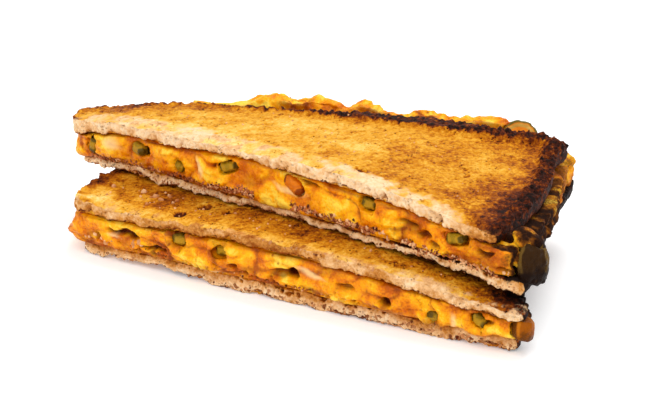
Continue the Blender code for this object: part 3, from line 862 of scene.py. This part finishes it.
# %% Crumbs of three kinds
BURNT_CRUMBS = {
    "upper": [
        (8, 32, 23.2, 23.4, 190, 0.2, 0.65), (34, 64, 23.4, 24.4, 260, 0.2, 0.7),
        (64, 80, 24.4, 25.4, 200, 0.25, 0.8), (94, 128, 24.8, 24.2, 330, 0.2, 0.8),
        (136, 168, 22.8, 21.6, 240, 0.2, 0.7),
    ],
    "lower": [(22, 40, 6.6, 7.0, 40, 0.2, 0.45), (46, 90, 5.8, 6.0, 60, 0.2, 0.5)],
}
PALE_CRUMBS = {
    "upper": [
        (10, 40, 22.8, 23.0, 70, 0.25, 0.6), (60, 80, 24.2, 25.0, 110, 0.3, 0.8),
        (95, 130, 24.6, 23.8, 150, 0.25, 0.8), (130, 172, 23.0, 21.4, 120, 0.3, 0.8),
    ],
    "lower": [(4, 30, 6.8, 8.6, 16, 0.4, 1.1), (60, 120, 5.4, 5.2, 30, 0.25, 0.6)],
}
HANGING_CRUMBS = {
    "upper": [(3, 60, 19.6, 20.8, 120, 0.25, 0.6), (60, 176, 20.8, 17.6, 190, 0.25, 0.65)],
    "lower": [(0, 60, 1.2, 1.1, 110, 0.25, 0.7), (60, 152, 1.1, 1.1, 300, 0.3, 1.0)],
}
FALLEN_CRUMBS = {
    "upper": [(20, 150, 2, 50, 60.0, 60, 0.45)],
    "lower": [(4, 34, 3, 18, 24.0, 26, 1.0), (34, 130, 2, 12, 24.0, 40, 0.6)],
}
CRUMB_KINDS = {
    "burnt_crumbs": (BURNT_CRUMBS, 201),
    "pale_crumbs": (PALE_CRUMBS, 301),
    "hanging_crumbs": (HANGING_CRUMBS, 401),
}
crumbs = {}
for kind, (stretches, seed) in CRUMB_KINDS.items():
    spots = scatter(food, "upper", stretches["upper"], seed)
    spots += scatter(food, "lower", stretches["lower"], seed + 1)
    if kind == "pale_crumbs":
        spots += sprinkled(food, "upper", FALLEN_CRUMBS["upper"], 331)
        spots += sprinkled(food, "lower", FALLEN_CRUMBS["lower"], 332)
    crumbs[kind] = grains(kind, spots, seed + 2)

# %% [markdown]
# ## Colours and shader groups
# Colours are written as they look, from 0 to 255, and turned into the linear values that
# shaders use. Two effects serve several materials, so they are node groups: a grain that
# runs along the loaf, and a fine mottling. They only give values, and each material
# decides what to do with them.

# %% Helpers for materials
def tone(red, green, blue):
    """A shader colour from a colour as it looks, 0 to 255."""
    shares = [value / 255 for value in (red, green, blue)]
    return tuple(v / 12.92 if v <= 0.04045 else ((v + 0.055) / 1.055) ** 2.4 for v in shares) + (1.0,)


def new_group(name, inputs, outputs):
    """An empty shader group with float or vector inputs and float outputs."""
    group = bpy.data.node_groups.new(name, "ShaderNodeTree")
    for label, kind, value in inputs:
        socket = group.interface.new_socket(label, in_out="INPUT", socket_type=kind)
        if kind == "NodeSocketFloat":
            socket.default_value = value
    for label in outputs:
        group.interface.new_socket(label, in_out="OUTPUT", socket_type="NodeSocketFloat")
    return group, group.nodes.new("NodeGroupInput"), group.nodes.new("NodeGroupOutput")


def math_node(tree, how, first, second):
    """A math node fed by sockets or numbers; gives its result socket."""
    node = tree.nodes.new("ShaderNodeMath")
    node.operation = how
    for socket, value in zip(node.inputs, (first, second)):
        if isinstance(value, bpy.types.NodeSocket):
            tree.links.new(value, socket)
        else:
            socket.default_value = value
    return node.outputs[0]


def noise_node(tree, place, scale, detail, roughness=0.6):
    """Noise over a place socket; the scale is a number or a socket."""
    node = tree.nodes.new("ShaderNodeTexNoise")
    tree.links.new(place, node.inputs["Vector"])
    if isinstance(scale, bpy.types.NodeSocket):
        tree.links.new(scale, node.inputs["Scale"])
    else:
        node.inputs["Scale"].default_value = scale
    node.inputs["Detail"].default_value = detail
    node.inputs["Roughness"].default_value = roughness
    return node.outputs["Fac"]


def stepped(tree, value, start, end):
    """A smooth step of a socket from 0 to 1."""
    node = tree.nodes.new("ShaderNodeMapRange")
    node.interpolation_type = "SMOOTHSTEP"
    tree.links.new(value, node.inputs["Value"])
    node.inputs["From Min"].default_value = start
    node.inputs["From Max"].default_value = end
    return node.outputs["Result"]


def ramp(tree, value, stops):
    """A colour ramp over a socket from stops of place and colour."""
    node = tree.nodes.new("ShaderNodeValToRGB")
    elements = node.color_ramp.elements
    while len(elements) < len(stops):
        elements.new(0.5)
    for element, (place, colour) in zip(elements, stops):
        element.position = place
        element.color = tone(*colour)
    tree.links.new(value, node.inputs["Fac"])
    return node.outputs["Color"]


def blended(tree, share, first, second):
    """A mix of two colour sockets or colours."""
    node = tree.nodes.new("ShaderNodeMix")
    node.data_type = "RGBA"
    if isinstance(share, bpy.types.NodeSocket):
        tree.links.new(share, node.inputs["Factor"])
    else:
        node.inputs["Factor"].default_value = share
    for label, value in (("A", first), ("B", second)):
        socket = [s for s in node.inputs if s.name == label and s.type == "RGBA"][0]
        if isinstance(value, bpy.types.NodeSocket):
            tree.links.new(value, socket)
        else:
            socket.default_value = value
    return [s for s in node.outputs if s.type == "RGBA"][0]


def kept(tree, name):
    """A number kept at the points of a mesh."""
    node = tree.nodes.new("ShaderNodeAttribute")
    node.attribute_name = name
    return node.outputs["Fac"]


def grouped(tree, group, **values):
    """A group placed in a material with sockets or numbers for its inputs."""
    node = tree.nodes.new("ShaderNodeGroup")
    node.node_tree = group
    for label, value in values.items():
        socket = node.inputs[label.replace("_", " ")]
        if isinstance(value, bpy.types.NodeSocket):
            tree.links.new(value, socket)
        else:
            socket.default_value = value
    return node.outputs


def fresh_material(name):
    """A material, its tree, its Principled shader and its place socket."""
    material = bpy.data.materials.new(name)
    material.use_nodes = True
    tree = material.node_tree
    shader = tree.nodes["Principled BSDF"]
    place = tree.nodes.new("ShaderNodeTexCoord").outputs["Object"]
    return material, tree, shader, place


def bumped(tree, shader, height, distance):
    """Feed a height in millimetres of relief to the shader's normal."""
    node = tree.nodes.new("ShaderNodeBump")
    node.inputs["Distance"].default_value = distance * MM
    tree.links.new(height, node.inputs["Height"])
    tree.links.new(node.outputs["Normal"], shader.inputs["Normal"])


# %% Two groups: loaf grain and mottling
def build_loaf_grain():
    """Streaks along the first direction, dark specks, and a relief of both."""
    group, given, gives = new_group(
        "Loaf grain",
        [("Place", "NodeSocketVector", None), ("Fineness", "NodeSocketFloat", 900.0)],
        ["Grain", "Specks", "Relief"],
    )
    squeeze = group.nodes.new("ShaderNodeMapping")
    squeeze.inputs["Scale"].default_value = (1.0, 0.8, 1.0)
    group.links.new(given.outputs["Place"], squeeze.inputs["Vector"])
    streaks = noise_node(group, squeeze.outputs["Vector"], given.outputs["Fineness"], 3.0)
    coarse = math_node(group, "MULTIPLY", given.outputs["Fineness"], 0.3)
    patches = noise_node(group, squeeze.outputs["Vector"], coarse, 2.0)
    grain = math_node(group, "MULTIPLY", math_node(group, "ADD", streaks, patches), 0.5)
    mesh_size = math_node(group, "MULTIPLY", given.outputs["Fineness"], 0.75)
    crumbly = group.nodes.new("ShaderNodeTexVoronoi")
    group.links.new(squeeze.outputs["Vector"], crumbly.inputs["Vector"])
    group.links.new(mesh_size, crumbly.inputs["Scale"])
    knots = math_node(group, "MULTIPLY", math_node(group, "SUBTRACT", crumbly.outputs["Distance"], 0.45), 0.3)
    grain = math_node(group, "ADD", grain, knots)
    dots = group.nodes.new("ShaderNodeTexVoronoi")
    group.links.new(squeeze.outputs["Vector"], dots.inputs["Vector"])
    group.links.new(given.outputs["Fineness"], dots.inputs["Scale"])
    group.links.new(grain, gives.inputs["Grain"])
    near = stepped(group, dots.outputs["Distance"], 0.34, 0.12)
    chosen = stepped(group, patches, 0.52, 0.62)
    specks = math_node(group, "MULTIPLY", near, chosen)
    group.links.new(specks, gives.inputs["Specks"])
    group.links.new(math_node(group, "SUBTRACT", streaks, specks), gives.inputs["Relief"])
    return group


def build_mottling():
    """Soft and fine patches as two values."""
    group, given, gives = new_group(
        "Mottling",
        [("Place", "NodeSocketVector", None), ("Fineness", "NodeSocketFloat", 500.0)],
        ["Soft", "Fine"],
    )
    soft = noise_node(group, given.outputs["Place"], given.outputs["Fineness"], 2.0)
    finer = math_node(group, "MULTIPLY", given.outputs["Fineness"], 3.7)
    fine = noise_node(group, given.outputs["Place"], finer, 3.0, 0.7)
    group.links.new(soft, gives.inputs["Soft"])
    group.links.new(fine, gives.inputs["Fine"])
    return group


loaf_grain = build_loaf_grain()
mottling = build_mottling()

# %% [markdown]
# ## Toast finish
# Browning goes from cream through gold and brown to black, and one ramp holds that whole
# path, so the shape step only had to say how brown a point is. Crumb has its own paler
# ramp, which turns orange where oil from the cheese has run in. The crumb is also painted
# darker in its pores and hollows, which is painted shade.

# %% Toast material
BROWNING = [
    (0.0, (255, 222, 146)), (0.18, (248, 196, 92)), (0.36, (232, 166, 46)), (0.52, (208, 130, 14)),
    (0.66, (164, 84, 6)), (0.80, (98, 38, 8)), (0.9, (56, 20, 7)), (1.0, (24, 10, 5)),
]
CRUMB = [(0.0, (255, 228, 188)), (0.3, (246, 197, 140)), (0.65, (208, 138, 62)), (1.0, (144, 70, 14))]


def offset_by(tree, value, factor, offset):
    """A socket times a factor plus an offset."""
    result = math_node(tree, "MULTIPLY_ADD", value, factor)
    result.node.inputs[2].default_value = offset
    return result


def toast_finish(name, half):
    """Browned and cut bread in one material."""
    material, tree, shader, place = fresh_material(name)
    aligned = tree.nodes.new("ShaderNodeMapping")
    aligned.inputs["Rotation"].default_value = (0, 0, -TURNS[half])
    tree.links.new(place, aligned.inputs["Vector"])
    lie = aligned.outputs["Vector"]
    grain = grouped(tree, loaf_grain, Place=lie, Fineness=1100.0)
    spots = grouped(tree, mottling, Place=lie, Fineness=300.0)
    level = math_node(tree, "ADD", kept(tree, "browned"), offset_by(tree, grain["Grain"], 0.55, -0.275))
    level = math_node(tree, "ADD", level, offset_by(tree, spots["Fine"], 0.6, -0.3))
    level = math_node(tree, "ADD", level, math_node(tree, "MULTIPLY", grain["Specks"], 0.32))
    browned = ramp(tree, level, BROWNING)
    # Crumb colour from oil staining, with painted shade in pores and hollows.
    soaked = math_node(tree, "ADD", offset_by(tree, spots["Fine"], 0.9, -0.32), kept(tree, "stain"))
    crumb = ramp(tree, soaked, CRUMB)
    # Painted shade inside the pores, mixed with the grain's real dark specks.
    holes = math_node(tree, "ADD", kept(tree, "pore"), grain["Specks"])
    crumb = blended(tree, math_node(tree, "MULTIPLY", holes, 0.5), crumb, tone(160, 88, 30))
    edge = math_node(tree, "ADD", kept(tree, "seam"), offset_by(tree, spots["Fine"], 1.2, -0.6))
    crumb = blended(tree, stepped(tree, edge, 0.3, 0.7), crumb, tone(96, 36, 14))
    torn = math_node(tree, "ADD", kept(tree, "open_crumb"), offset_by(tree, spots["Fine"], 0.9, -0.45))
    torn = stepped(tree, torn, 0.32, 0.72)
    tree.links.new(blended(tree, torn, browned, crumb), shader.inputs["Base Color"])
    tree.links.new(offset_by(tree, torn, 0.3, 0.6), shader.inputs["Roughness"])
    shader.inputs["Specular IOR Level"].default_value = 0.08
    bumped(tree, shader, math_node(tree, "ADD", grain["Relief"], spots["Fine"]), 0.55)
    return material


# %% [markdown]
# ## Cheese, pepper and crumb finishes
# Warm cheese is glossy with oil and lets a little light in. Its yellow varies in patches,
# and it is painted yellower on the crests of its folds and orange in the valleys and
# creases, which is painted shade. Pepper skin is dark and shiny over an olive flesh with a
# pale ring, and the round slices are painted darker below and lighter at the top as painted
# shade and highlight. Crumbs are dry, and each has its own tint between two colours.

# %% Cheese material
YOLK = [
    (0.0, (196, 92, 0)), (0.25, (226, 124, 0)), (0.5, (244, 154, 2)), (0.75, (255, 180, 8)),
    (1.0, (255, 212, 70)),
]


def cheese_finish():
    """Oily melted cheese."""
    material, tree, shader, place = fresh_material("melted_cheese")
    spots = grouped(tree, mottling, Place=place, Fineness=420.0)
    # Yellow level from real patches of tone and painted shade in the fold valleys.
    level = math_node(tree, "ADD", kept(tree, "yolk"), offset_by(tree, spots["Soft"], 0.9, -0.45))
    level = math_node(tree, "ADD", level, offset_by(tree, spots["Fine"], 0.9, -0.45))
    colour = ramp(tree, level, YOLK)
    # Painted shade in creases and where the cheese meets the bread.
    colour = blended(tree, kept(tree, "crease"), colour, tone(140, 62, 0))
    # Painted shade inside the holes.
    colour = blended(tree, kept(tree, "hollow"), colour, tone(92, 30, 4))
    colour = blended(tree, kept(tree, "pale"), colour, tone(252, 212, 146))
    scorch = math_node(tree, "ADD", kept(tree, "scorched"), offset_by(tree, spots["Fine"], 0.8, -0.4))
    colour = blended(tree, stepped(tree, scorch, 0.1, 0.6), colour, tone(122, 66, 8))
    colour = blended(tree, stepped(tree, scorch, 0.35, 1.05), colour, tone(34, 13, 4))
    tree.links.new(colour, shader.inputs["Base Color"])
    dry = math_node(tree, "ADD", offset_by(tree, spots["Fine"], 0.3, 0.16), kept(tree, "scorched"))
    tree.links.new(dry, shader.inputs["Roughness"])
    shader.inputs["Specular IOR Level"].default_value = 0.14
    shader.inputs["Subsurface Weight"].default_value = 0.1
    shader.inputs["Subsurface Radius"].default_value = (1.0, 0.45, 0.12)
    shader.inputs["Subsurface Scale"].default_value = 1.5 * MM
    bumped(tree, shader, spots["Fine"], 0.3)
    return material


# %% Pepper materials
def pepper_finish(name, flesh, skin, ring, gloss):
    """Pepper from its flesh, skin and ring colours and its gloss; on slices the skin colour also serves as
    painted shade.
    """
    material, tree, shader, place = fresh_material(name)
    spots = grouped(tree, mottling, Place=place, Fineness=600.0)
    # Dark outer colour on one face of each chip, and on slices lower down as painted shade; the pale ring
    # shows away from it, so on slices mostly at the top as painted highlight.
    share = math_node(tree, "ADD", kept(tree, "skin"), offset_by(tree, spots["Soft"], 0.9, -0.35))
    colour = blended(tree, stepped(tree, share, 0.3, 0.9), tone(*flesh), tone(*skin))
    inner, outer = stepped(tree, kept(tree, "rim"), 0.62, 0.7), stepped(tree, kept(tree, "rim"), 0.88, 0.80)
    band = math_node(tree, "MULTIPLY", inner, outer)
    band = math_node(tree, "MULTIPLY", band, offset_by(tree, stepped(tree, share, 0.3, 0.9), -0.7, 0.7))
    colour = blended(tree, band, colour, tone(*ring))
    colour = blended(tree, stepped(tree, kept(tree, "rim"), 0.84, 0.94), colour, tone(*skin))
    tree.links.new(colour, shader.inputs["Base Color"])
    tree.links.new(offset_by(tree, spots["Fine"], 0.3, 0.14), shader.inputs["Roughness"])
    shader.inputs["Specular IOR Level"].default_value = gloss
    bumped(tree, shader, spots["Fine"], 0.25)
    return material


# %% Crumb materials
def crumb_finish(name, dark, light):
    """Dry crumbs, each with its own tint between a dark and a light colour."""
    material, tree, shader, place = fresh_material(name)
    spots = grouped(tree, mottling, Place=place, Fineness=900.0)
    share = math_node(tree, "ADD", kept(tree, "tint"), offset_by(tree, spots["Fine"], 0.8, -0.4))
    tree.links.new(ramp(tree, share, [(0.0, dark), (1.0, light)]), shader.inputs["Base Color"])
    shader.inputs["Roughness"].default_value = 0.8
    shader.inputs["Specular IOR Level"].default_value = 0.06
    bumped(tree, shader, spots["Fine"], 0.2)
    return material


# %% Dress the pieces
TOAST_FINISHES = {half: toast_finish("toast_" + half, half) for half in TURNS}
CHEESE_FINISH = cheese_finish()
GREEN_FINISH = pepper_finish("green_pepper", (156, 120, 18), (92, 70, 12), (184, 134, 20), 0.12)
RED_FINISH = pepper_finish("red_pepper", (226, 122, 12), (140, 60, 6), (200, 100, 10), 0.12)
SLICE_FINISHES = {
    "pepper_slice_side": pepper_finish("charred_pepper", (52, 31, 10), (26, 11, 4), (118, 88, 36), 0.05),
    "pepper_slice_back": pepper_finish("cheesy_pepper", (240, 140, 26), (104, 88, 20), (204, 176, 84), 0.12),
    "pepper_slice_end": pepper_finish("brown_pepper", (158, 82, 4), (98, 52, 4), (198, 116, 14), 0.06),
}


def dress(piece, material, slot, *stands_for):
    """Give a piece its finish, put it under the root and hide the solids that it stands for; the slot is not
    used.
    """
    piece.data.materials.clear()
    piece.data.materials.append(material)
    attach(piece, "root")
    if stands_for:
        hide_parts(*stands_for)


for (half, layer), piece in toasts.items():
    dress(piece, TOAST_FINISHES[half], "toast", f"{half}_{layer}_toast")
for half, piece in fillings.items():
    dress(piece, CHEESE_FINISH, "cheese", half + "_cheese")
for name, piece in chips.items():
    red = name.startswith("red")
    dress(piece, RED_FINISH if red else GREEN_FINISH, "red_pepper" if red else "green_pepper", name)
for name, piece in slices.items():
    dress(piece, SLICE_FINISHES[name], "green_pepper", name)
dress(crumbs["burnt_crumbs"], crumb_finish("burnt_crumbs", (64, 18, 7), (206, 120, 72)), "toast")
dress(crumbs["pale_crumbs"], crumb_finish("pale_crumbs", (196, 122, 66), (246, 196, 144)), "toast")
dress(crumbs["hanging_crumbs"], crumb_finish("hanging_crumbs", (110, 52, 22), (222, 158, 104)), "toast")
made = [piece for piece in bpy.data.objects if piece.type == "MESH" and piece.name not in nodes]
total = sum(count_faces(piece) for piece in made)
print("triangles in all", total)

# %% [markdown]
# ## Floor, light and camera
# A white table runs far past the food. The sky is white and gives soft light from all
# sides. One lamp stands high behind the food and one in front of it, and they give the
# cheese its shine and the layers their depth. The camera looks from the right front.

# %% Floor
FLOOR_REACH = 3.0
floor_mesh = bpy.data.meshes.new("table_top")
corners = [(x * FLOOR_REACH, y * FLOOR_REACH, 0.0) for x, y in ((-1, -1), (1, -1), (1, 1), (-1, 1))]
floor_mesh.from_pydata(corners, [], [(0, 1, 2, 3)])
floor = bpy.data.objects.new("table_top", floor_mesh)
bpy.context.scene.collection.objects.link(floor)
white = bpy.data.materials.new("white_table")
white.use_nodes = True
white_shader = white.node_tree.nodes["Principled BSDF"]
white_shader.inputs["Base Color"].default_value = (0.93, 0.93, 0.93, 1)
white_shader.inputs["Roughness"].default_value = 0.9
white_shader.inputs["Emission Color"].default_value = (1, 1, 1, 1)
white_shader.inputs["Emission Strength"].default_value = 0.22
floor_mesh.materials.append(white)

# %% Light
sky = bpy.data.worlds.new("soft_sky")
sky.use_nodes = True
sky.node_tree.nodes["Background"].inputs["Color"].default_value = (1, 1, 1, 1)
sky.node_tree.nodes["Background"].inputs["Strength"].default_value = 0.72
bpy.context.scene.world = sky


def way_out(azimuth, elevation):
    """Direction from the food to the side that an azimuth and an elevation in degrees name."""
    turn, rise = math.radians(azimuth), math.radians(elevation)
    flat = math.cos(rise)
    return Vector((math.sin(turn) * flat, -math.cos(turn) * flat, math.sin(rise)))


def set_lamp(name, azimuth, elevation, size, watts):
    """A square soft lamp a metre away that shines at the food."""
    lamp = bpy.data.lights.new(name, "AREA")
    lamp.size = size
    lamp.energy = watts
    place = bpy.data.objects.new(name, lamp)
    bpy.context.scene.collection.objects.link(place)
    place.location = way_out(azimuth, elevation)
    place.rotation_euler = place.location.to_track_quat("Z", "Y").to_euler()


set_lamp("overhead", 165, 68, 0.5, 4.4)
set_lamp("window", 3, 52, 0.9, 4.4)

# %% Camera
AIM = Vector(from_half([[47.0, 74.5, 0.0]], "lower")[0])
AZIMUTH, ELEVATION, DISTANCE = 30.7, 20.0, 0.60
lens = bpy.data.cameras.new("view")
lens.sensor_width = 36.0
lens.lens = 98.03
camera = bpy.data.objects.new("view", lens)
bpy.context.scene.collection.objects.link(camera)
camera.location = AIM + way_out(AZIMUTH, ELEVATION) * DISTANCE
camera.rotation_euler = (math.radians(90.0 - ELEVATION), 0, math.radians(AZIMUTH))
bpy.context.scene.camera = camera
bpy.context.scene.view_settings.view_transform = "Standard"
print("aim", [round(v, 4) for v in AIM])
